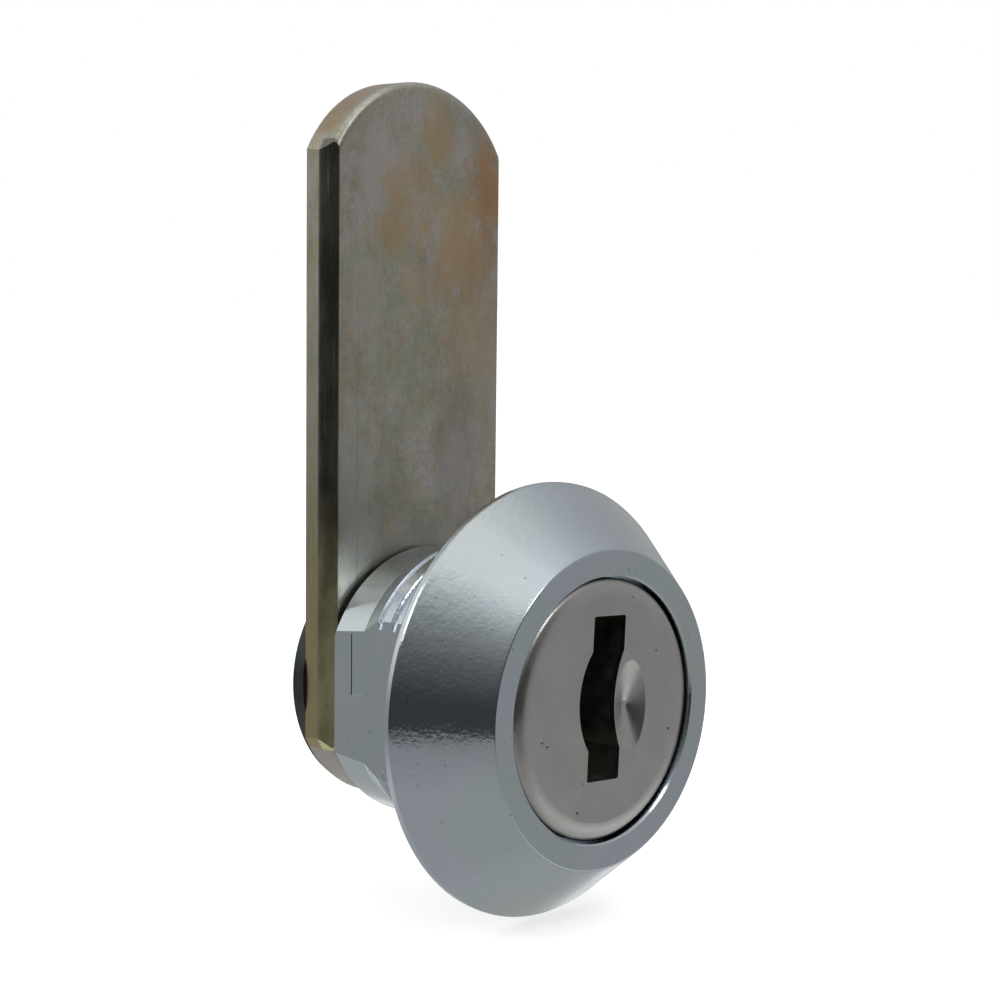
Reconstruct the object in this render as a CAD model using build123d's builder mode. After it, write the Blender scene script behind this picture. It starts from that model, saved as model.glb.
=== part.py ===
"""Panel-mounted cam lock with a flat key slot, a straight cam and a chromed conical head.

Millimetres. The lock's axis is Y: the front faces -Y, and the cam stands behind at +Y and
points up, +Z. The origin is on the axis in the plane of the head's rear face, which is
the face that seats on the panel.
"""

import os
from math import cos, radians, tan

from build123d import *

# Head: a flat front ring, a cone and a narrow rim
head_radius = 14.0
rim_depth = 0.56
cone_depth = 5.04
ring_radius = 10.15
ring_round = 0.15
rim_round = 0.2

# Body behind the head: thread, plain collar with draft and two flats
body_depth = 10.8
thread_radius = 9.5
thread_depth = 0.3
thread_root_width = 0.25
thread_flank_deg = 30.0
thread_pitch = 1.27
thread_lead_in = 0.4
neck_depth = 1.1
thread_slope = 1.3
thread_overrun = 0.2
collar_step = 0.55
collar_depth = 2.8
collar_draft = 0.13
collar_chamfer = 0.15
across_flats = 16.0

# Shallow cast mark on the left flat
mark_width = 1.0
mark_height = 4.0
mark_depth = 0.05
mark_to_back = 1.55

# Bore steps in the housing, from the front
cap_bore_radius = 8.45
cap_bore_depth = 2.0
stop_bore_radius = 7.8
stop_bore_depth = 1.2
mouth_chamfer = 0.12

# Plug
body_wall = 2.4
plug_clearance = 0.05
plug_turn_deg = 90.0
stop_lug_deg = 60.0
stop_clearance_deg = 0.5
stop_gap = 0.1
plug_head_round = 0.8
shoulder_stand_off = 0.36
tail_width = 7.0
tail_play = 0.04
tail_recess = 0.2

# Key slot: a band that bows to the left beside the dimple
slot_width = 3.0
slot_top = 5.95
slot_bottom = -4.45
slot_bow_left = 1.05
slot_bow_right = 0.72
bow_top = 3.75
bow_bottom = -2.5
slot_tilt_deg = 3.0
slot_shift = 0.03
slot_corner_round = 0.15
slot_step = 0.22
slot_end_wall = 0.2

# Face cap: drawn sheet over the plug's head
cap_sheet = 0.35
cap_recess = 0.05
cap_running_gap = 0.15
cap_skirt = 1.6
cap_crown_reach = 1.18
cap_crown_drop = 0.28
cap_round = 0.4
cap_seat_gap = 0.04
dimple_half_width = 1.5
dimple_half_height = 2.9
dimple_floor_radius = 0.25
dimple_depth = 0.55
dimple_x = 2.4
dimple_z = 0.0

# Wafers, the grooves that they drop into, and their springs
wafer_count = 5
first_wafer_set = 1.2
last_wafer_set = 1.4
wafer_thickness = 0.9
wafer_play = 0.05
wafer_flush_gap = 0.05
wafer_throw = 0.7
groove_gap = 0.2
groove_to_retainer = 0.65
window_wall = 0.85
window_height = 8.2
window_centre = 0.65
window_round = 0.4
window_steps = (0.3, -0.2, 0.1, -0.3, 0.2)
lug_cover = 1.3
lug_reach = 1.7
lug_height = 1.2
lug_bottom = 0.6
spring_to_lug_end = 0.75
spring_seat = -3.1
spring_pocket_radius = 0.8
coil_radius = 0.55
wire_radius = 0.13
coil_turns = 5
coil_end_gap = 0.03

# Retaining wafer behind the others
retainer_to_back = 2.55
retainer_width = 4.8
retainer_thickness = 0.9
retainer_reach = 0.8
retainer_push = 0.9
retainer_foot = 0.6
retainer_groove_width = 1.2

# Cam: a bar blanked from the front, with rolled front edges and an arc at each end
cam_thickness = 2.72
cam_face_width = 14.82
cam_roll_flare = 0.43
cam_roll_bow = 0.05
cam_roll_depth = 1.5
cam_rear_flare = 0.37
cam_end_radius = 8.8
cam_top_centre = 30.99
cam_tail_centre = 0.6
cam_front_round = 0.5

# Fastening of the cam
washer_radius = 8.0
washer_thickness = 1.0
washer_play = 0.15
screw_radius = 2.5
screw_play = 0.04
screw_engagement = 3.9
screw_tip_gap = 0.5
spring_washer_width = 1.75
spring_washer_thickness = 1.0
spring_washer_split = 0.9
hex_across = 8.0
hex_height = 2.3
hex_face_radius = 3.8
hex_turn_deg = 30.0
hex_chamfer_deg = 30.0

# Depths and radii worked out from the sizes above
front = -(rim_depth + cone_depth)
slope_end = body_depth - collar_depth
thread_end = slope_end - thread_slope
collar_radius = thread_radius - collar_step
collar_front_radius = collar_radius + collar_draft
bore_radius = collar_radius - body_wall
core_radius = bore_radius - plug_clearance
stop_start = front + cap_bore_depth
core_start = stop_start + stop_bore_depth
cap_front = front + cap_recess
cap_radius = cap_bore_radius - cap_running_gap
cap_inside_radius = cap_radius - cap_sheet
plug_head_front = cap_front + cap_sheet + cap_seat_gap
plug_head_back = stop_start - stop_gap
shoulder = body_depth + shoulder_stand_off
cam_back = shoulder + cam_thickness
tail_end = cam_back - tail_recess
screw_tip = tail_end - screw_engagement
washer_hole_radius = screw_radius + washer_play
washer_back = cam_back + washer_thickness
spring_washer_back = washer_back + spring_washer_thickness
lug_end = core_radius - lug_cover
wafer_width = 2 * (lug_end - lug_reach)
wafer_tip = core_radius - wafer_flush_gap
spring_offset = lug_end - spring_to_lug_end
groove_radius = core_radius + wafer_throw + groove_gap
groove_width = wafer_width + 2 * groove_gap
retainer_depth = body_depth - retainer_to_back
retainer_groove_start = retainer_depth - retainer_groove_width / 2
groove_end = retainer_groove_start - groove_to_retainer
first_wafer = core_start + first_wafer_set
last_wafer = groove_end - last_wafer_set
wafer_pitch = (last_wafer - first_wafer) / (wafer_count - 1)
beyond = 2 * head_radius
standing = (Align.CENTER, Align.CENTER, Align.MIN)


def section(depth, side=1):
    """Plane across the axis: its x is +X and its y is +Z, both reversed where side is -1."""
    return Plane(origin=(0, depth, 0), x_dir=(side, 0, 0), z_dir=(0, -1, 0))


def wafer_plane(number):
    """Middle plane of a wafer; every second wafer is turned half round the axis."""
    return section(first_wafer + number * wafer_pitch, 1 - 2 * (number % 2))


def ring_sector(inner, outer, start_deg, size_deg):
    """Face of a ring's sector about the axis, with angles from +X towards +Z."""
    with BuildSketch() as sector:
        with BuildLine():
            outside = CenterArc((0, 0), outer, start_deg, size_deg)
            inside = CenterArc((0, 0), inner, start_deg, size_deg)
            Line(outside @ 0, inside @ 0)
            Line(outside @ 1, inside @ 1)
        make_face()
    return sector.sketch


def key_slot(step):
    """Face of the key slot, larger by a step all round: a band that bows to the left."""
    half = slot_width / 2 + step
    top = slot_top + step
    bottom = slot_bottom - step
    middle = (bow_top + bow_bottom) / 2
    with BuildSketch() as band:
        with BuildLine():
            Polyline((half, bow_top), (half, top), (-half, top), (-half, bow_top))
            ThreePointArc((-half, bow_top), (-half - slot_bow_left, middle), (-half, bow_bottom))
            Polyline((-half, bow_bottom), (-half, bottom), (half, bottom), (half, bow_bottom))
            ThreePointArc((half, bow_bottom), (half - slot_bow_right, middle), (half, bow_top))
        make_face()
        levels = band.vertices().group_by(Axis.Y)
        fillet(levels[0] + levels[-1], radius=slot_corner_round)
    return Pos(slot_shift, 0) * Rot(0, 0, -slot_tilt_deg) * band.sketch


def dimple(step):
    """Solid that fills the cap's dimple back from the cap's front, larger by a step all round."""
    with BuildPart() as dish:
        with BuildSketch(section(cap_front)):
            with Locations((dimple_x, dimple_z)):
                Ellipse(dimple_half_width + step, dimple_half_height + step)
        with BuildSketch(section(cap_front + dimple_depth + step)):
            with Locations((dimple_x, dimple_z)):
                Circle(dimple_floor_radius + step)
        loft()
    return dish.part


def coil(plane, offset_x, height):
    """Compression spring of round wire that stands along a wafer plane's y, from its seat."""
    end = wire_radius + coil_end_gap
    rise = height - 2 * end
    start = plane.from_local_coords((offset_x, spring_seat + end))
    with BuildPart() as wire:
        with BuildLine() as path:
            Helix(rise / coil_turns, rise, coil_radius, center=start, direction=plane.y_dir)
        with BuildSketch(Plane(origin=path.line @ 0, z_dir=path.line % 0)):
            Circle(wire_radius)
        sweep(path=path.line, is_frenet=True)
    return wire.part


os.makedirs("parts", exist_ok=True)

# Housing: the die-cast head and body in one piece
with BuildPart() as housing:
    with BuildSketch(Plane.XY):
        with BuildLine():
            Polyline(
                (bore_radius, 0),
                (collar_radius, 0),
                (collar_radius, neck_depth),
                (thread_radius, neck_depth + collar_step),
                (thread_radius, thread_end),
                (collar_front_radius, slope_end),
                (collar_radius, body_depth - collar_chamfer),
                (collar_radius - collar_chamfer, body_depth),
                (bore_radius, body_depth),
                close=True,
            )
        make_face()
    revolve(axis=Axis.Y)
    # Helical groove, from ahead of the first crest to past the foot of the slope
    with BuildLine() as lead:
        Helix(
            thread_pitch,
            slope_end + thread_overrun - thread_lead_in,
            thread_radius,
            center=(0, thread_lead_in, 0),
            direction=(0, 1, 0),
        )
    groove_start = lead.line @ 0
    outward = groove_start - Vector(0, groove_start.Y, 0)
    past_crest = thread_depth / 2
    root = thread_root_width / 2
    mouth = root + (thread_depth + past_crest) * tan(radians(thread_flank_deg))
    with BuildSketch(Plane(origin=groove_start, x_dir=outward, z_dir=lead.line % 0)):
        with BuildLine():
            Polyline(
                (-thread_depth, root),
                (past_crest, mouth),
                (past_crest, -mouth),
                (-thread_depth, -root),
                close=True,
            )
        make_face()
    sweep(path=lead.line, is_frenet=True, mode=Mode.SUBTRACT)
    # Head with its two bore steps, and the plain neck that joins the thread to the seat
    with BuildSketch(Plane.XY):
        with BuildLine():
            Polyline(
                (cap_bore_radius + mouth_chamfer, front),
                (ring_radius, front),
                (head_radius, -rim_depth),
                (head_radius, 0),
                (thread_radius, 0),
                (thread_radius, neck_depth + collar_step),
                (bore_radius, neck_depth + collar_step),
                (bore_radius, core_start),
                (stop_bore_radius, core_start),
                (stop_bore_radius, stop_start),
                (cap_bore_radius, stop_start),
                (cap_bore_radius, front + mouth_chamfer),
                close=True,
            )
        make_face()
    revolve(axis=Axis.Y)
    rings = housing.edges().filter_by(GeomType.CIRCLE)
    fillet(rings.group_by(SortBy.RADIUS)[-1], radius=rim_round)
    rings = housing.edges().filter_by(GeomType.CIRCLE)
    front_rings = rings.group_by(Axis.Y)[0]
    fillet(front_rings.sort_by(SortBy.RADIUS)[-1], radius=ring_round)
    # Flats from the seat to the rear
    with BuildSketch(section(0)):
        with Locations(((across_flats + beyond) / 2, 0), (-(across_flats + beyond) / 2, 0)):
            Rectangle(beyond, beyond)
    extrude(amount=-body_depth, mode=Mode.SUBTRACT)
    with BuildSketch(Plane.YZ.offset(-across_flats / 2)):
        with Locations((body_depth - mark_to_back - mark_width / 2, mark_height / 2)):
            Rectangle(mark_width, mark_height)
    extrude(amount=mark_depth, mode=Mode.SUBTRACT)
    # Four grooves for the wafers, a quarter turn apart
    with BuildSketch(section(core_start)):
        Rectangle(beyond, groove_width)
        Rectangle(groove_width, beyond)
        Circle(groove_radius, mode=Mode.INTERSECT)
    extrude(amount=core_start - groove_end, mode=Mode.SUBTRACT)
    # Ring groove for the retaining wafer
    with BuildSketch(section(retainer_groove_start)):
        Circle(groove_radius)
    extrude(amount=-retainer_groove_width, mode=Mode.SUBTRACT)
    # Stop lug at the bottom of the stop recess
    with BuildSketch(section(stop_start)):
        add(ring_sector(bore_radius, stop_bore_radius, 270 - stop_lug_deg / 2, stop_lug_deg))
    extrude(amount=-stop_bore_depth)
housing.part.label = "housing"
export_step(housing.part, "parts/housing.step")

# Plug: head, stop sector, slotted core, shoulder and square tail
with BuildPart() as plug:
    with BuildSketch(section(plug_head_front)):
        Circle(cap_inside_radius - cap_seat_gap)
    extrude(amount=plug_head_front - plug_head_back)
    fillet(plug.edges().sort_by(Axis.Y)[0], radius=plug_head_round)
    sector_deg = 360 - stop_lug_deg - plug_turn_deg - 2 * stop_clearance_deg
    sector_start = 270 - stop_lug_deg / 2 - stop_clearance_deg - sector_deg
    with BuildSketch(section(plug_head_back)):
        add(ring_sector(core_radius / 2, stop_bore_radius - stop_gap, sector_start, sector_deg))
    extrude(amount=-stop_bore_depth)
    with BuildSketch(section(plug_head_back)):
        Circle(core_radius)
    extrude(amount=plug_head_back - shoulder)
    with BuildSketch(section(shoulder)):
        Rectangle(tail_width, tail_width)
    extrude(amount=shoulder - tail_end)
    # Room for the cap's dimple, then the key slot
    add(dimple(cap_sheet + cap_seat_gap), mode=Mode.SUBTRACT)
    with BuildSketch(section(plug_head_front)):
        add(key_slot(slot_step))
    extrude(amount=plug_head_front - groove_end + slot_end_wall, mode=Mode.SUBTRACT)
    # Wafer slots, with a pocket beside each for its lug and its spring
    for number in range(wafer_count):
        wafer_slot = wafer_thickness + 2 * wafer_play
        with Locations(wafer_plane(number)):
            Box(wafer_width + 2 * wafer_play, beyond, wafer_slot, mode=Mode.SUBTRACT)
            with Locations((0, lug_bottom - wafer_flush_gap)):
                Box(
                    lug_end + wafer_play,
                    beyond,
                    wafer_slot,
                    align=(Align.MIN, Align.MIN, Align.CENTER),
                    mode=Mode.SUBTRACT,
                )
            with Locations(Location((spring_offset, spring_seat, 0), (-90, 0, 0))):
                Cylinder(spring_pocket_radius, beyond, align=standing, mode=Mode.SUBTRACT)
    # Slot of the retaining wafer and the pocket of its spring
    with Locations(section(retainer_depth)):
        with Locations((0, retainer_foot - retainer_push - wafer_flush_gap)):
            Box(
                retainer_width + 2 * wafer_play,
                beyond,
                retainer_thickness + 2 * wafer_play,
                align=(Align.CENTER, Align.MIN, Align.CENTER),
                mode=Mode.SUBTRACT,
            )
        with Locations(Location((0, spring_seat, 0), (-90, 0, 0))):
            Cylinder(spring_pocket_radius, beyond, align=standing, mode=Mode.SUBTRACT)
    # Hole for the cam's screw
    with BuildSketch(section(screw_tip - screw_tip_gap)):
        Circle(screw_radius + screw_play)
    extrude(amount=screw_tip - screw_tip_gap - tail_end, mode=Mode.SUBTRACT)
plug.part.label = "plug"
export_step(plug.part, "parts/plug.step")

# Face cap: drawn cup with a crowned edge and a dished dimple beside the key slot
with BuildPart() as face_cap:
    crown_start = cap_radius - cap_crown_reach
    cap_back = cap_front + cap_skirt
    with BuildSketch(Plane.XY):
        with BuildLine():
            Line((0, cap_front), (crown_start, cap_front))
            crown = TangentArc(
                (crown_start, cap_front), (cap_radius, cap_front + cap_crown_drop), tangent=(1, 0)
            )
            Polyline(crown @ 1, (cap_radius, cap_back), (0, cap_back), (0, cap_front))
        make_face()
    revolve(axis=Axis.Y)
    rings = face_cap.edges().filter_by(GeomType.CIRCLE)
    fillet(rings.group_by(SortBy.RADIUS)[-1].sort_by(Axis.Y)[0], radius=cap_round)
    offset(amount=-cap_sheet, openings=face_cap.faces().sort_by(Axis.Y)[-1])
    add(dimple(cap_sheet))
    add(dimple(0), mode=Mode.SUBTRACT)
    with BuildSketch(section(cap_front)):
        add(key_slot(0))
    extrude(amount=-cap_skirt, mode=Mode.SUBTRACT)
face_cap.part.label = "face_cap"
export_step(face_cap.part, "parts/face_cap.step")

# Wafers, held flush at rest as the key holds them, and the springs that push them out
spring_height = lug_bottom - spring_seat
for number in range(wafer_count):
    with BuildPart() as wafer:
        with BuildSketch(wafer_plane(number).offset(wafer_thickness / 2)):
            Rectangle(wafer_width, beyond)
            with Locations((0, lug_bottom)):
                Rectangle(lug_end, lug_height, align=(Align.MIN, Align.MIN))
            Circle(wafer_tip, mode=Mode.INTERSECT)
            with Locations((0, window_centre + window_steps[number])):
                RectangleRounded(
                    wafer_width - 2 * window_wall,
                    window_height,
                    window_round,
                    mode=Mode.SUBTRACT,
                )
        extrude(amount=-wafer_thickness)
    wafer.part.label = f"wafer_{number + 1}"
    export_step(wafer.part, f"parts/wafer_{number + 1}.step")
    wafer_spring = coil(wafer_plane(number), spring_offset, spring_height)
    wafer_spring.label = f"wafer_spring_{number + 1}"
    export_step(wafer_spring, f"parts/wafer_spring_{number + 1}.step")

# Retaining wafer, which holds the plug in by the ring groove, and its spring
with BuildPart() as retainer_wafer:
    with BuildSketch(section(retainer_depth - retainer_thickness / 2)):
        with Locations((0, retainer_foot)):
            Rectangle(retainer_width, beyond, align=(Align.CENTER, Align.MIN))
        Circle(core_radius + retainer_reach, mode=Mode.INTERSECT)
    extrude(amount=-retainer_thickness)
retainer_wafer.part.label = "retainer_wafer"
export_step(retainer_wafer.part, "parts/retainer_wafer.step")

retainer_spring = coil(section(retainer_depth), 0, retainer_foot - spring_seat)
retainer_spring.label = "retainer_spring"
export_step(retainer_spring, "parts/retainer_spring.step")

# Cam: the bar's outline with arc ends, kept within a section with rolled edges
with BuildPart() as cam:
    with BuildSketch(section(shoulder)):
        with Locations((0, (cam_top_centre + cam_tail_centre) / 2)):
            Rectangle(beyond, cam_top_centre - cam_tail_centre)
        with Locations((0, cam_top_centre), (0, cam_tail_centre)):
            Circle(cam_end_radius)
    extrude(amount=-cam_thickness)
    half_width = cam_face_width / 2
    roll_width = half_width + cam_roll_flare
    bow_width = half_width + cam_roll_flare / 2 + cam_roll_bow
    rear_width = half_width + cam_rear_flare
    bow_end = shoulder + cam_roll_depth / 2
    roll_end = shoulder + cam_roll_depth
    with BuildSketch(Plane.XY.offset(-beyond)):
        with BuildLine():
            Line((-half_width, shoulder), (half_width, shoulder))
            ThreePointArc((half_width, shoulder), (bow_width, bow_end), (roll_width, roll_end))
            Polyline(
                (roll_width, roll_end),
                (rear_width, cam_back),
                (-rear_width, cam_back),
                (-roll_width, roll_end),
            )
            ThreePointArc((-roll_width, roll_end), (-bow_width, bow_end), (-half_width, shoulder))
        make_face()
    extrude(amount=beyond + 2 * cam_top_centre, mode=Mode.INTERSECT)
    face_edges = cam.faces().sort_by(Axis.Y)[0].edges()
    fillet(face_edges.filter_by(GeomType.CIRCLE), radius=cam_front_round)
    with BuildSketch(section(shoulder)):
        Rectangle(tail_width + 2 * tail_play, tail_width + 2 * tail_play)
    extrude(amount=-cam_thickness, mode=Mode.SUBTRACT)
cam.part.label = "cam"
export_step(cam.part, "parts/cam.step")

# Washer, split spring washer and hexagon screw behind the cam
with BuildPart() as cam_washer:
    with BuildSketch(section(cam_back)):
        Circle(washer_radius)
        Circle(washer_hole_radius, mode=Mode.SUBTRACT)
    extrude(amount=-washer_thickness)
cam_washer.part.label = "cam_washer"
export_step(cam_washer.part, "parts/cam_washer.step")

with BuildPart() as spring_washer:
    with BuildSketch(section(washer_back)):
        Circle(washer_hole_radius + spring_washer_width)
        Circle(washer_hole_radius, mode=Mode.SUBTRACT)
        Rectangle(
            spring_washer_split,
            washer_radius,
            align=(Align.CENTER, Align.MIN),
            mode=Mode.SUBTRACT,
        )
    extrude(amount=-spring_washer_thickness)
spring_washer.part.label = "spring_washer"
export_step(spring_washer.part, "parts/spring_washer.step")

with BuildPart() as cam_screw:
    with BuildSketch(section(spring_washer_back)):
        RegularPolygon(hex_across / 2, 6, major_radius=False, rotation=hex_turn_deg)
    extrude(amount=-hex_height)
    # Chamfered end of the hexagon, kept within a cone
    hex_corner = hex_across / 2 / cos(radians(30))
    hex_back = spring_washer_back + hex_height
    chamfer_start = hex_back - (hex_corner - hex_face_radius) * tan(radians(hex_chamfer_deg))
    with BuildSketch(Plane.XY):
        with BuildLine():
            Polyline(
                (0, spring_washer_back),
                (hex_corner, spring_washer_back),
                (hex_corner, chamfer_start),
                (hex_face_radius, hex_back),
                (0, hex_back),
                close=True,
            )
        make_face()
    revolve(axis=Axis.Y, mode=Mode.INTERSECT)
    with BuildSketch(section(screw_tip)):
        Circle(screw_radius)
    extrude(amount=screw_tip - spring_washer_back)
cam_screw.part.label = "cam_screw"
export_step(cam_screw.part, "parts/cam_screw.step")
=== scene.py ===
import math

import bpy
from mathutils import Matrix, Vector


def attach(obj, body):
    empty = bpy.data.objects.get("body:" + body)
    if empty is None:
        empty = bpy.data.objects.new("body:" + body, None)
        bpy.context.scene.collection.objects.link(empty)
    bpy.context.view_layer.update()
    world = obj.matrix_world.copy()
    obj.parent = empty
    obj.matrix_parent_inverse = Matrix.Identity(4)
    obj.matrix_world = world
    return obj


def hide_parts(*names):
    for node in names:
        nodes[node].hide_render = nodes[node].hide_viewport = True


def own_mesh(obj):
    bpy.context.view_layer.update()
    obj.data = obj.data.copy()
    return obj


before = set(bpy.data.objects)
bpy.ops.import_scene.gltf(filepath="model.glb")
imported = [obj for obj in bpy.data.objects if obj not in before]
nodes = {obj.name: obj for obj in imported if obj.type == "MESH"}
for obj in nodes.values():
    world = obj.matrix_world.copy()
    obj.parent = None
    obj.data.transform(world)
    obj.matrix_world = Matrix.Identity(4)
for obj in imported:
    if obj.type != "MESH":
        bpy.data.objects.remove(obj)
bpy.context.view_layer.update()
bpy.ops.object.select_all(action="DESELECT")
print("frame loaded,", len(nodes), "nodes")


# A metal to start from, with its place in millimetres at hand
def startMetal(name, look):
    material = bpy.data.materials.new(name)
    material.use_nodes = True
    tree = material.node_tree
    shader = tree.nodes["Principled BSDF"]
    shader.inputs["Metallic"].default_value = look.get("metallic", 1.0)
    shader.inputs["Base Color"].default_value = (*look["colour"], 1)
    shader.inputs["Roughness"].default_value = look["roughness"]
    place = tree.nodes.new("ShaderNodeTexCoord")
    inMm = tree.nodes.new("ShaderNodeVectorMath")
    inMm.operation = "SCALE"
    inMm.inputs["Scale"].default_value = 1000
    tree.links.new(place.outputs["Object"], inMm.inputs[0])
    return material, tree, shader, inMm.outputs[0]


def mathOf(tree, how, first, second=0.0, clamp=False):
    node = tree.nodes.new("ShaderNodeMath")
    node.operation = how
    node.use_clamp = clamp
    for socket, value in zip(node.inputs, (first, second)):
        if isinstance(value, (int, float)):
            socket.default_value = value
        else:
            tree.links.new(value, socket)
    return node.outputs[0]


def lengthOf(tree, first, second):
    squares = [mathOf(tree, "MULTIPLY", side, side) for side in (first, second)]
    return mathOf(tree, "SQRT", mathOf(tree, "ADD", *squares))


def fade(tree, value, low, high, toLow=0.0, toHigh=1.0):
    node = tree.nodes.new("ShaderNodeMapRange")
    node.interpolation_type = "SMOOTHSTEP"
    tree.links.new(value, node.inputs["Value"])
    node.inputs["From Min"].default_value = low
    node.inputs["From Max"].default_value = high
    node.inputs["To Min"].default_value = toLow
    node.inputs["To Max"].default_value = toHigh
    return node.outputs[0]


def grain(tree, where, perMm, stretch=(1, 1, 1), shift=(0, 0, 0), detail=2.0, rough=0.5):
    turned = tree.nodes.new("ShaderNodeMapping")
    turned.inputs["Scale"].default_value = stretch
    turned.inputs["Location"].default_value = shift
    tree.links.new(where, turned.inputs["Vector"])
    noise = tree.nodes.new("ShaderNodeTexNoise")
    noise.inputs["Scale"].default_value = perMm
    noise.inputs["Detail"].default_value = detail
    noise.inputs["Roughness"].default_value = rough
    tree.links.new(turned.outputs[0], noise.inputs["Vector"])
    return noise.outputs["Fac"]


def rampOf(tree, value, stops):
    node = tree.nodes.new("ShaderNodeValToRGB")
    points = node.color_ramp.elements
    while len(points) < len(stops):
        points.new(0.5)
    for point, (place, colour) in zip(points, stops):
        point.position = place
        point.color = (*colour, 1)
    tree.links.new(value, node.inputs["Fac"])
    return node.outputs["Color"]


def blendColours(tree, share, under, over, how="MIX"):
    node = tree.nodes.new("ShaderNodeMix")
    node.data_type = "RGBA"
    node.blend_type = how
    for socket, value in zip((node.inputs[0], node.inputs[6], node.inputs[7]), (share, under, over)):
        if isinstance(value, (int, float)):
            socket.default_value = value
        elif isinstance(value, tuple):
            socket.default_value = (*value, 1)
        else:
            tree.links.new(value, socket)
    return node.outputs[2]


def raiseBump(tree, height, depthMm, under=None):
    node = tree.nodes.new("ShaderNodeBump")
    node.inputs["Distance"].default_value = depthMm / 1000
    node.inputs["Strength"].default_value = 1.0
    tree.links.new(height, node.inputs["Height"])
    if under is not None:
        tree.links.new(under, node.inputs["Normal"])
    return node.outputs["Normal"]


# Place round the lock's axis: turn in mm at this radius, depth, and distance from the axis
turnRadius = 12.0


def roundTheAxis(tree, inMm):
    parts = tree.nodes.new("ShaderNodeSeparateXYZ")
    tree.links.new(inMm, parts.inputs[0])
    x, y, z = parts.outputs
    away = lengthOf(tree, x, z)
    turn = mathOf(tree, "MULTIPLY", mathOf(tree, "ARCTAN2", x, z), turnRadius)
    together = tree.nodes.new("ShaderNodeCombineXYZ")
    for socket, value in zip(together.inputs, (turn, y, away)):
        tree.links.new(value, socket)
    return together.outputs[0], x, y, z, away


def dress(nodeName, material):
    for slot in nodes[nodeName].material_slots:
        slot.material = material


# Head and body: die-cast zinc under satin chrome
housingLook = {
    "colour": (0.535, 0.605, 0.62),
    "bluish": (0.55, 0.60, 0.665),
    "greyer": (0.545, 0.59, 0.60),
    "roughness": 0.13,
    "pebblePerMm": 4.2,
    "pebbleDepth": 0.011,
    "wavePerMm": 1.9,
    "waveDepth": 0.022,
    "threadEnds": (1.0, 6.75),
    "slopeEnds": (6.7, 8.0),
    "slopeRougher": 0.24,
    "threadDepth": 0.05,
    "coneFront": -5.45,
    "coneBack": -0.6,
    "rimFade": (10.5, 13.6),
    "crestFade": (9.30, 9.49),
    "flatFade": (7.9, 7.98),
    "pitColour": (0.22, 0.22, 0.22),
}


def paintHousing(look):
    material, tree, shader, inMm = startMetal("satinChrome", look)
    around, x, y, z, away = roundTheAxis(tree, inMm)
    onCone = mathOf(
        tree, "MULTIPLY",
        fade(tree, y, look["coneFront"] - 0.08, look["coneFront"] + 0.08),
        fade(tree, y, look["coneBack"] - 0.05, look["coneBack"] + 0.05, 1, 0),
    )
    pebbles = grain(tree, inMm, look["pebblePerMm"], detail=2.5, rough=0.55)
    waves = grain(tree, around, look["wavePerMm"], stretch=(0.7, 1, 1.6), detail=2.0)
    fine = grain(tree, inMm, 11.0, detail=3.0, rough=0.65)
    towardsRim = fade(tree, away, *look["rimFade"], 0.25, 1.0)
    waveHeight = mathOf(tree, "MULTIPLY", waves, mathOf(tree, "MULTIPLY", onCone, towardsRim))
    pebbleShare = mathOf(tree, "ADD", mathOf(tree, "MULTIPLY", onCone, 0.65), 0.35)
    pebbleHeight = mathOf(tree, "MULTIPLY", pebbles, pebbleShare)
    bump = raiseBump(tree, fine, 0.0012)
    bump = raiseBump(tree, pebbleHeight, look["pebbleDepth"], bump)
    bump = raiseBump(tree, waveHeight, look["waveDepth"], bump)
    first, last = look["threadEnds"]
    inThread = mathOf(
        tree, "MULTIPLY",
        mathOf(tree, "MULTIPLY", fade(tree, y, first, first + 0.3), fade(tree, y, last, last + 0.3, 1, 0)),
        fade(tree, away, *look["crestFade"], 1, 0),
    )
    offFlats = fade(tree, mathOf(tree, "ABSOLUTE", x), *look["flatFade"], 1, 0)
    inThread = mathOf(tree, "MULTIPLY", inThread, offFlats)
    torn = grain(tree, around, 2.2, stretch=(1.4, 0.5, 0.5), detail=3.0, rough=0.6)
    bump = raiseBump(tree, mathOf(tree, "MULTIPLY", torn, inThread), look["threadDepth"], bump)
    tree.links.new(bump, shader.inputs["Normal"])
    drift = grain(tree, inMm, 0.12, detail=1.5)
    tint = rampOf(tree, drift, [(0.35, look["bluish"]), (0.5, look["colour"]), (0.68, look["greyer"])])
    pits = grain(tree, inMm, 3.1, shift=(3, 7, 1), detail=0.0)
    tint = blendColours(tree, fade(tree, pits, 0.83, 0.87, 0, 0.5), tint, look["pitColour"])
    tree.links.new(tint, shader.inputs["Base Color"])
    wear = grain(tree, inMm, 0.6, detail=4.0, rough=0.6)
    rough = fade(tree, wear, 0.3, 0.75, look["roughness"] - 0.02, look["roughness"] + 0.07)
    slopeStart, slopeEnd = look["slopeEnds"]
    onSlope = mathOf(
        tree, "MULTIPLY",
        fade(tree, y, slopeStart - 0.05, slopeStart + 0.1),
        fade(tree, y, slopeEnd - 0.1, slopeEnd + 0.05, 1, 0),
    )
    onSlope = mathOf(tree, "MULTIPLY", onSlope, offFlats)
    rough = mathOf(tree, "ADD", rough, mathOf(tree, "MULTIPLY", onSlope, look["slopeRougher"]))
    tree.links.new(rough, shader.inputs["Roughness"])
    return material


dress("housing", paintHousing(housingLook))

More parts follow.
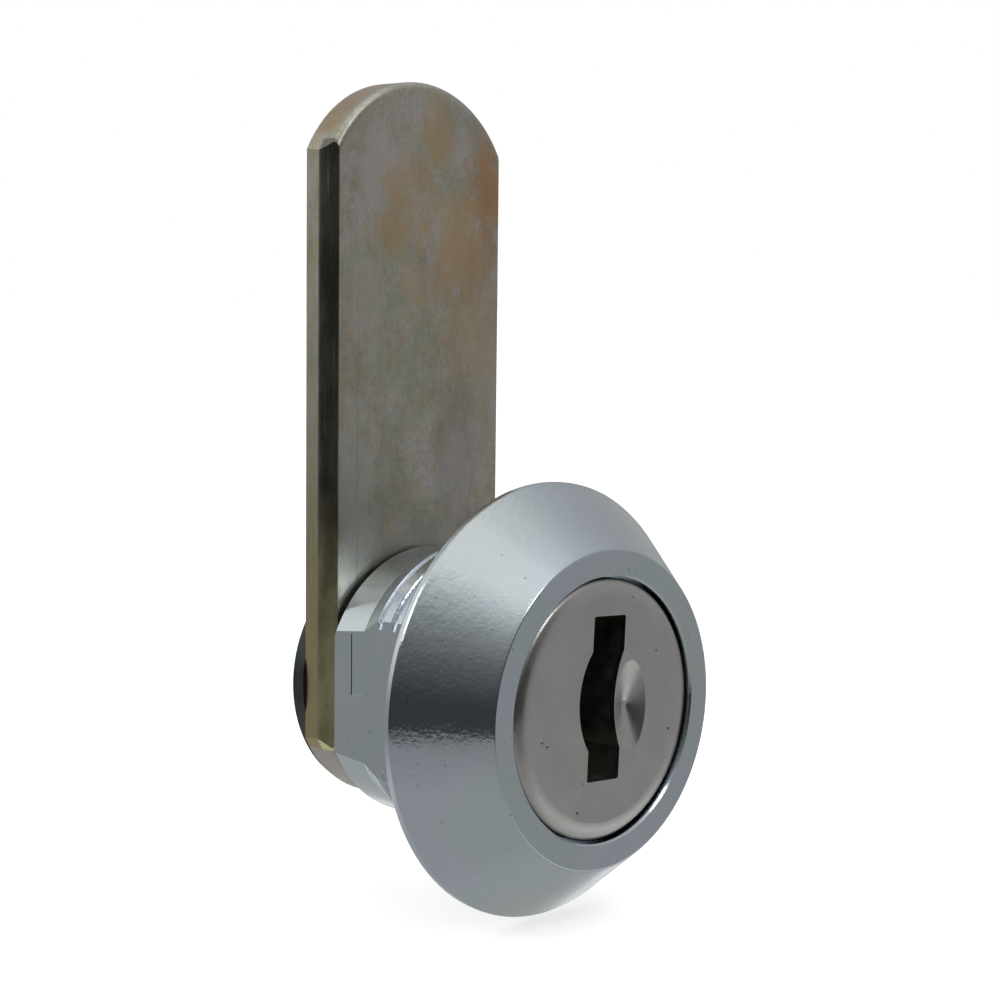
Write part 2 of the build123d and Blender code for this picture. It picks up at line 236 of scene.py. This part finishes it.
# Face cap: drawn stainless sheet, ground fine, with a few pits
capLook = {
    "colour": (0.495, 0.49, 0.48),
    "duller": (0.475, 0.47, 0.46),
    "brighter": (0.52, 0.51, 0.49),
    "lineColour": (0.40, 0.39, 0.375),
    "roughness": 0.26,
    "pits": [(-5.91, -1.24, 0.11), (-5.45, -1.55, 0.11), (4.88, 3.27, 0.1), (6.25, -1.99, 0.13),
             (-2.59, -6.12, 0.13), (-2.06, -4.37, 0.07), (2.49, 6.92, 0.08)],
}


def paintCap(look):
    material, tree, shader, inMm = startMetal("groundStainless", look)
    lines = grain(tree, inMm, 9.0, stretch=(0.22, 1, 1.6), detail=3.0, rough=0.6)
    fine = grain(tree, inMm, 12.0, shift=(4, 0, 9), detail=2.0)
    blotches = grain(tree, inMm, 0.35, detail=2.5)
    tint = rampOf(tree, blotches, [(0.3, look["duller"]), (0.5, look["colour"]), (0.7, look["brighter"])])
    tint = blendColours(tree, fade(tree, lines, 0.35, 0.7, 0.0, 0.22), tint, look["lineColour"])
    flat = tree.nodes.new("ShaderNodeVectorMath")
    flat.operation = "MULTIPLY"
    flat.inputs[1].default_value = (1, 0, 1)
    tree.links.new(inMm, flat.inputs[0])
    pitted = 0.0
    for pitX, pitZ, pitRadius in look["pits"]:
        reach = tree.nodes.new("ShaderNodeVectorMath")
        reach.operation = "DISTANCE"
        reach.inputs[1].default_value = (pitX, 0, pitZ)
        tree.links.new(flat.outputs[0], reach.inputs[0])
        near = fade(tree, reach.outputs["Value"], pitRadius * 0.5, pitRadius * 1.3, 1, 0)
        pitted = mathOf(tree, "MAXIMUM", near, pitted)
    tint = blendColours(tree, mathOf(tree, "MULTIPLY", pitted, 0.75), tint, (0.12, 0.11, 0.10))
    tree.links.new(tint, shader.inputs["Base Color"])
    bump = raiseBump(tree, lines, 0.0022)
    bump = raiseBump(tree, fine, 0.0018, bump)
    bump = raiseBump(tree, mathOf(tree, "MULTIPLY", pitted, -1.0), 0.03, bump)
    tree.links.new(bump, shader.inputs["Normal"])
    rough = fade(tree, blotches, 0.3, 0.7, look["roughness"] - 0.03, look["roughness"] + 0.05)
    tree.links.new(rough, shader.inputs["Roughness"])
    return material


dress("face_cap", paintCap(capLook))

# Cam: rolled steel bar, passivated yellow and worn to grey and brown, with a painted dark reflection and a
# painted highlight on its rolled edges
camLook = {
    "colour": (0.52, 0.505, 0.455),
    "roughness": 0.36,
    "violet": (0.545, 0.515, 0.505),
    "brown": (0.44, 0.38, 0.29),
    "rust": (0.45, 0.26, 0.13),
    "ochre": (0.50, 0.38, 0.22),
    "green": (0.40, 0.43, 0.34),
    "olive": (0.30, 0.27, 0.15),
    # centre x and z, half sizes, colour name and share, all in mm
    "patches": [
        (-4.0, 34.2, 2.8, 2.6, "violet", 0.75),
        (3.6, 35.4, 2.0, 1.8, "violet", 0.5),
        (-5.2, 26.0, 1.8, 4.5, "violet", 0.4),
        (6.2, 32.6, 1.8, 4.4, "rust", 0.9),
        (4.8, 28.6, 3.2, 3.6, "rust", 0.5),
        (3.4, 29.8, 2.6, 3.6, "ochre", 0.7),
        (1.4, 36.6, 1.5, 3.0, "ochre", 0.8),
        (-0.6, 33.6, 2.4, 2.6, "ochre", 0.6),
        (-2.3, 30.0, 2.6, 2.0, "ochre", 0.75),
        (-2.8, 33.0, 1.2, 1.4, "ochre", 0.5),
        (5.0, 23.0, 3.4, 4.0, "ochre", 0.5),
        (0.5, 26.5, 3.0, 1.6, "ochre", 0.4),
        (3.6, 15.0, 2.6, 6.5, "shade", 0.45),
        (-6.0, 12.0, 2.2, 8.0, "pale", 0.75),
        (6.3, 22.0, 1.2, 9.0, "brown", 0.55),
        (1.0, 9.0, 5.0, 2.6, "shade", 0.5),
    ],
    "shade": (0.31, 0.30, 0.29),
    "pale": (0.53, 0.53, 0.48),
    "dark": (0.28, 0.26, 0.23),
    # near black: a painted dark reflection on the front of the rolled edges
    "darkReflection": (0.13, 0.125, 0.11),
    "gold": (0.48, 0.40, 0.22),
    # pale yellow: a painted highlight on the front of the rolled edges low down
    "paintedHighlight": (0.90, 0.83, 0.50),
    "line": (-5.72, 0.1),
    "lineFade": (24.0, 31.0),
    "edgeFade": (7.36, 7.46),
    "rolledFade": (12.45, 12.75),
    "darkReflectionFade": (6.0, 16.0),
    "lowFade": (3.0, 13.0),
    "tipFade": (35.9, 36.4),
    "backFade": (13.65, 13.85),
    "scratchColour": (0.64, 0.63, 0.60),
}


def paintCam(look):
    material, tree, shader, inMm = startMetal("passivatedSteel", look)
    parts = tree.nodes.new("ShaderNodeSeparateXYZ")
    tree.links.new(inMm, parts.inputs[0])
    x, y, z = parts.outputs
    wide = grain(tree, inMm, 0.16, shift=(2.3, 0, 5.1), detail=3.0, rough=0.6)
    patches = grain(tree, inMm, 0.34, stretch=(1.2, 1, 0.55), shift=(8, 3, 1), detail=4.0, rough=0.62)
    specks = grain(tree, inMm, 2.6, detail=4.0, rough=0.7)
    drift = [(0.34, look["violet"]), (0.48, look["colour"]), (0.6, look["green"]), (0.72, look["brown"])]
    tint = rampOf(tree, wide, drift)
    tint = blendColours(tree, fade(tree, patches, 0.48, 0.66, 0.0, 0.8), tint, look["brown"])
    tint = blendColours(tree, fade(tree, specks, 0.42, 0.72, 0.0, 0.45), tint, look["dark"])
    dust = grain(tree, inMm, 5.5, shift=(1, 6, 2), detail=3.0, rough=0.75)
    tint = blendColours(tree, fade(tree, dust, 0.4, 0.62, 0.0, 0.3), tint, look["dark"])
    clouds = grain(tree, inMm, 1.3, shift=(2, 5, 9), detail=4.0, rough=0.65)
    tint = blendColours(tree, fade(tree, clouds, 0.46, 0.64, 0.0, 0.3), tint, look["pale"])
    ochre = grain(tree, inMm, 2.1, stretch=(1.0, 1, 0.6), shift=(7, 0, 3), detail=3.0, rough=0.7)
    tint = blendColours(tree, fade(tree, ochre, 0.5, 0.66, 0.0, 0.5), tint, look["ochre"])
    drifted = grain(tree, inMm, 0.6, shift=(5, 2, 7), detail=5.0, rough=0.72)
    for middleX, middleZ, halfX, halfZ, colourName, share in look["patches"]:
        acrossX = mathOf(tree, "DIVIDE", mathOf(tree, "SUBTRACT", x, middleX), halfX)
        upZ = mathOf(tree, "DIVIDE", mathOf(tree, "SUBTRACT", z, middleZ), halfZ)
        reach = lengthOf(tree, acrossX, upZ)
        ragged = mathOf(tree, "ADD", reach, mathOf(tree, "MULTIPLY", drifted, 3.2))
        tint = blendColours(tree, fade(tree, ragged, 1.9, 2.9, share, 0), tint, look[colourName])
    # Brown and gold on the rolled edges towards the tail, and near black in front above it; the near black
    # is a painted dark reflection
    onEdge = fade(tree, mathOf(tree, "ABSOLUTE", x), *look["edgeFade"])
    edge = mathOf(tree, "MULTIPLY", onEdge, fade(tree, z, 6.0, 24.0, 0.85, 0.2))
    tint = blendColours(tree, edge, tint, look["olive"])
    rolled = mathOf(tree, "MULTIPLY", onEdge, fade(tree, y, *look["rolledFade"], 1, 0))
    # painted dark reflection: near black on the front of the rolled edges, stronger higher up
    darkReflection = mathOf(tree, "MULTIPLY", rolled, fade(tree, z, *look["darkReflectionFade"], 0.0, 0.85))
    tint = blendColours(tree, darkReflection, tint, look["darkReflection"])
    lowDown = fade(tree, z, *look["lowFade"], 1, 0)
    # gold on the edges low down, and a painted highlight on their front part
    for where, share, colourName in ((onEdge, 0.5, "gold"), (rolled, 0.8, "paintedHighlight")):
        spread = mathOf(tree, "MULTIPLY", mathOf(tree, "MULTIPLY", where, lowDown), share)
        tint = blendColours(tree, spread, tint, look[colourName])
    backOff = fade(tree, y, *look["backFade"], 1, 0)
    tipped = mathOf(tree, "MULTIPLY", fade(tree, z, *look["tipFade"]), fade(tree, y, 11.5, 12.2))
    tipped = mathOf(tree, "MULTIPLY", tipped, backOff)
    tint = blendColours(tree, mathOf(tree, "MULTIPLY", tipped, 0.45), tint, look["rust"])
    lineAt, lineHalf = look["line"]
    fromLine = mathOf(tree, "ABSOLUTE", mathOf(tree, "SUBTRACT", x, lineAt))
    lineShare = fade(tree, fromLine, lineHalf * 0.3, lineHalf, 0.35, 0)
    lined = mathOf(tree, "MULTIPLY", lineShare, fade(tree, z, *look["lineFade"], 1, 0))
    tint = blendColours(tree, lined, tint, look["shade"])
    scratches = grain(tree, inMm, 5.0, stretch=(2.2, 1, 0.05), detail=3.0, rough=0.7)
    tint = blendColours(tree, fade(tree, scratches, 0.52, 0.74, 0.0, 0.3), tint, look["scratchColour"])
    tree.links.new(tint, shader.inputs["Base Color"])
    bump = raiseBump(tree, scratches, 0.004)
    bump = raiseBump(tree, specks, 0.006, bump)
    tree.links.new(bump, shader.inputs["Normal"])
    rough = fade(tree, patches, 0.3, 0.7, look["roughness"] - 0.05, look["roughness"] + 0.1)
    rough = mathOf(tree, "SUBTRACT", rough, mathOf(tree, "MULTIPLY", rolled, 0.12))
    tree.links.new(rough, shader.inputs["Roughness"])
    return material


dress("cam", paintCam(camLook))

# Inner and rear metals
plainLooks = {
    "plug": {
        "name": "castZinc",
        "colour": (0.33, 0.35, 0.34),
        "dark": (0.2, 0.22, 0.21),
        "roughness": 0.42,
    },
    "wafer": {
        "name": "stampedBrass",
        "colour": (0.42, 0.33, 0.18),
        "dark": (0.24, 0.19, 0.11),
        "roughness": 0.34,
    },
    "spring": {
        "name": "springWire",
        "colour": (0.5, 0.5, 0.5),
        "dark": (0.33, 0.33, 0.33),
        "roughness": 0.28,
    },
    "washer": {
        "name": "blackedSteel",
        "colour": (0.07, 0.085, 0.075),
        "dark": (0.04, 0.05, 0.045),
        "roughness": 0.4,
    },
    "screw": {
        "name": "brightSteel",
        "colour": (0.56, 0.57, 0.58),
        "dark": (0.36, 0.37, 0.37),
        "roughness": 0.25,
    },
}


def paintPlain(look):
    material, tree, shader, inMm = startMetal(look["name"], look)
    blotches = grain(tree, inMm, 0.9, detail=4.0, rough=0.6)
    fine = grain(tree, inMm, 7.0, detail=3.0, rough=0.6)
    tint = rampOf(tree, blotches, [(0.3, look["dark"]), (0.55, look["colour"])])
    tint = blendColours(tree, fade(tree, fine, 0.4, 0.75, 0.0, 0.3), tint, look["dark"])
    tree.links.new(tint, shader.inputs["Base Color"])
    bump = raiseBump(tree, fine, 0.004)
    tree.links.new(bump, shader.inputs["Normal"])
    rough = fade(tree, blotches, 0.3, 0.7, look["roughness"] - 0.04, look["roughness"] + 0.1)
    tree.links.new(rough, shader.inputs["Roughness"])
    return material


plainMetals = {kind: paintPlain(look) for kind, look in plainLooks.items()}
dress("plug", plainMetals["plug"])
dress("cam_washer", plainMetals["washer"])
dress("spring_washer", plainMetals["screw"])
dress("cam_screw", plainMetals["screw"])
for nodeName in nodes:
    if nodeName.endswith("_spring") or nodeName.startswith("wafer_spring"):
        dress(nodeName, plainMetals["spring"])
    elif nodeName.startswith("wafer_") or nodeName == "retainer_wafer":
        dress(nodeName, plainMetals["wafer"])
print("metals assigned")

# The retaining wafer's spring, copied to a mesh of its own on the plug body, sizes in metres
coilLook = {
    "node": "retainer_spring",
    "body": "plug",
    "joint": "retainer_slide",
    "foot": (0.0, 0.00825, -0.00307),
    "length": 0.003635,
    "push": 0.0009,
}


def softenCoil(look):
    source = nodes[look["node"]]
    coil = source.copy()
    coil.data = source.data.copy()
    coil.name = "retainer_coil"
    coil.parent = None
    coil.matrix_world = source.matrix_world.copy()
    for key in list(coil.keys()):
        del coil[key]
    bpy.context.scene.collection.objects.link(coil)
    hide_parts(look["node"])
    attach(coil, look["body"])
    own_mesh(coil)


softenCoil(coilLook)

# Floor, and the white surroundings
floorLook = {"height": -0.0142, "half": 4.0, "pale": (0.88, 0.88, 0.88), "lift": 0.6}


def whiteOutside(tree, seen, lit):
    light = tree.nodes.new("ShaderNodeLightPath")
    rays = mathOf(tree, "MAXIMUM", light.outputs["Is Camera Ray"], light.outputs["Is Glossy Ray"])
    rays = mathOf(tree, "MAXIMUM", rays, light.outputs["Is Transmission Ray"])
    return mathOf(tree, "ADD", mathOf(tree, "MULTIPLY", rays, seen - lit), lit)


def layFloor(look):
    bpy.ops.mesh.primitive_plane_add(size=2 * look["half"], location=(0, 0, look["height"]))
    floor = bpy.context.object
    floor.name = "floor"
    material = bpy.data.materials.new("paleFloor")
    material.use_nodes = True
    tree = material.node_tree
    shader = tree.nodes["Principled BSDF"]
    shader.inputs["Roughness"].default_value = 1.0
    shader.inputs["Specular IOR Level"].default_value = 0.0
    place = tree.nodes.new("ShaderNodeTexCoord")
    faint = tree.nodes.new("ShaderNodeTexNoise")
    faint.inputs["Scale"].default_value = 12.0
    tree.links.new(place.outputs["Object"], faint.inputs["Vector"])
    darker = tuple(0.99 * part for part in look["pale"])
    pale = rampOf(tree, faint.outputs["Fac"], [(0.3, look["pale"]), (0.7, darker)])
    tree.links.new(pale, shader.inputs["Base Color"])
    shader.inputs["Emission Color"].default_value = (1, 1, 1, 1)
    tree.links.new(whiteOutside(tree, look["lift"], 0.0), shader.inputs["Emission Strength"])
    floor.data.materials.append(material)
    floor.visible_glossy = False  # the screen below gives the metals their lower half


layFloor(floorLook)

worldLook = {"level": 0.62}
world = bpy.data.worlds.new("studio")
bpy.context.scene.world = world
world.use_nodes = True
worldTree = world.node_tree
backdrop = worldTree.nodes["Background"]
backdrop.inputs["Color"].default_value = (1, 1, 1, 1)
worldTree.links.new(whiteOutside(worldTree, 1.0, worldLook["level"]), backdrop.inputs["Strength"])

# What the metal mirrors: a round screen, dark behind the camera, grey at the sides and pale overhead
screenLook = {
    "radius": 1.4,
    "darkTowards": -48.0,
    "darkHalf": 76.0,
    "darkSoft": 6.0,
    "leftFade": (-0.35, -0.05),
    "camera": [(-90, 0.42), (-40, 0.41), (-30, 0.37), (-15.5, 0.32), (-13.5, 0.05), (3, 0.055), (10, 0.09),
               (20, 0.14), (30, 0.24), (40, 0.38), (50, 0.66), (60, 1.0), (90, 1.0)],
    "right": [(-90, 0.45), (-45, 0.44), (-34, 0.55), (-28, 0.85), (-22, 0.8), (-17.5, 0.37), (-10, 0.355),
              (-3, 0.37),
              (3, 0.43), (15, 0.44), (30, 0.46), (40, 0.5), (50, 0.56), (60, 0.66), (75, 0.9), (90, 1.0)],
    "left": [(-90, 0.42), (-45, 0.52), (-30, 0.6), (-14, 0.34), (-3, 0.36), (5, 0.55), (12, 0.8), (25, 1.0),
             (45, 0.85), (60, 0.9), (90, 1.0)],
}


def hangScreen(look):
    bpy.ops.mesh.primitive_uv_sphere_add(segments=96, ring_count=48, radius=look["radius"])
    screen = bpy.context.object
    screen.name = "screen"
    bpy.ops.object.shade_smooth()
    material = bpy.data.materials.new("screenGreys")
    material.use_nodes = True
    tree = material.node_tree
    tree.nodes.remove(tree.nodes["Principled BSDF"])
    place = tree.nodes.new("ShaderNodeTexCoord")
    unit = tree.nodes.new("ShaderNodeVectorMath")
    unit.operation = "NORMALIZE"
    tree.links.new(place.outputs["Object"], unit.inputs[0])
    parts = tree.nodes.new("ShaderNodeSeparateXYZ")
    tree.links.new(unit.outputs[0], parts.inputs[0])
    x, y, z = parts.outputs
    height = mathOf(tree, "ADD", mathOf(tree, "MULTIPLY", z, 0.5), 0.5)
    greys = {}
    for side in ("camera", "right", "left"):
        stops = []
        for rise, level in look[side]:
            stops.append(((math.sin(math.radians(rise)) + 1) / 2, (level, level, level)))
        greys[side] = rampOf(tree, height, stops)
    dark = math.radians(look["darkTowards"])
    sideways = mathOf(tree, "MULTIPLY", x, math.sin(dark))
    towards = mathOf(tree, "ADD", sideways, mathOf(tree, "MULTIPLY", y, -math.cos(dark)))
    towards = mathOf(tree, "DIVIDE", towards, lengthOf(tree, x, y))
    outer = math.cos(math.radians(look["darkHalf"] + look["darkSoft"]))
    inner = math.cos(math.radians(look["darkHalf"] - look["darkSoft"]))
    colour = blendColours(tree, fade(tree, x, *look["leftFade"], 1, 0), greys["right"], greys["left"])
    colour = blendColours(tree, fade(tree, towards, outer, inner), colour, greys["camera"])
    glow = tree.nodes.new("ShaderNodeEmission")
    tree.links.new(colour, glow.inputs["Color"])
    tree.links.new(glow.outputs[0], tree.nodes["Material Output"].inputs["Surface"])
    screen.data.materials.append(material)
    screen.visible_camera = False
    screen.visible_diffuse = False
    screen.visible_transmission = False
    screen.visible_volume_scatter = False
    screen.visible_shadow = False


hangScreen(screenLook)

# Soft lamps, by the direction they stand in: azimuth from -Y towards +X, and height in degrees
lamps = {
    "keyLamp": {
        "azimuth": -8,
        "rise": 50,
        "away": 0.7,
        "size": 0.22,
        "power": 0.45,
        "colour": (1, 1, 1),
        "mirrored": True,
    },
    "sideLamp": {
        "azimuth": -118,
        "rise": 38,
        "away": 0.7,
        "size": 0.3,
        "power": 0.55,
        "colour": (1, 0.985, 0.95),
        "mirrored": True,
    },
    "fillLamp": {
        "azimuth": 80,
        "rise": 60,
        "away": 0.8,
        "size": 0.5,
        "power": 0.5,
        "colour": (0.98, 0.99, 1),
        "mirrored": False,
    },
}
for lampName, lamp in lamps.items():
    turn, rise = math.radians(lamp["azimuth"]), math.radians(lamp["rise"])
    way = Vector((math.sin(turn) * math.cos(rise), -math.cos(turn) * math.cos(rise), math.sin(rise)))
    bpy.ops.object.light_add(type="AREA", location=way * lamp["away"])
    light = bpy.context.object
    light.name = lampName
    light.rotation_euler = way.to_track_quat("Z", "Y").to_euler()
    light.data.shape = "DISK"
    light.data.size = lamp["size"]
    light.data.energy = lamp["power"]
    light.data.color = lamp["colour"]
    light.visible_glossy = lamp["mirrored"]
print("floor, screen and lamps set")

# Camera: place in metres, the way it looks from in degrees, and its lean
cameraLook = {
    "place": (-0.103684, -0.093795, 0.025897),
    "azimuth": -46.753,
    "rise": 5.353,
    "lean": 0.622,
    "lens": 79.2,
}


def setCamera(look):
    turn, rise, lean = (math.radians(look[part]) for part in ("azimuth", "rise", "lean"))
    level = Vector((math.cos(turn), math.sin(turn), 0))
    back = Vector((math.sin(turn) * math.cos(rise), -math.cos(turn) * math.cos(rise), math.sin(rise)))
    upright = back.cross(level)
    across = math.cos(lean) * level + math.sin(lean) * upright
    up = math.cos(lean) * upright - math.sin(lean) * level
    data = bpy.data.cameras.new("photoView")
    data.sensor_width = 36
    data.lens = look["lens"]
    data.clip_start = 0.005
    camera = bpy.data.objects.new("photoView", data)
    bpy.context.scene.collection.objects.link(camera)
    turned = Matrix((across, up, back)).transposed().to_4x4()
    camera.matrix_world = Matrix.Translation(look["place"]) @ turned
    bpy.context.scene.camera = camera


setCamera(cameraLook)
bpy.context.scene.view_settings.view_transform = "Standard"
print("camera set")
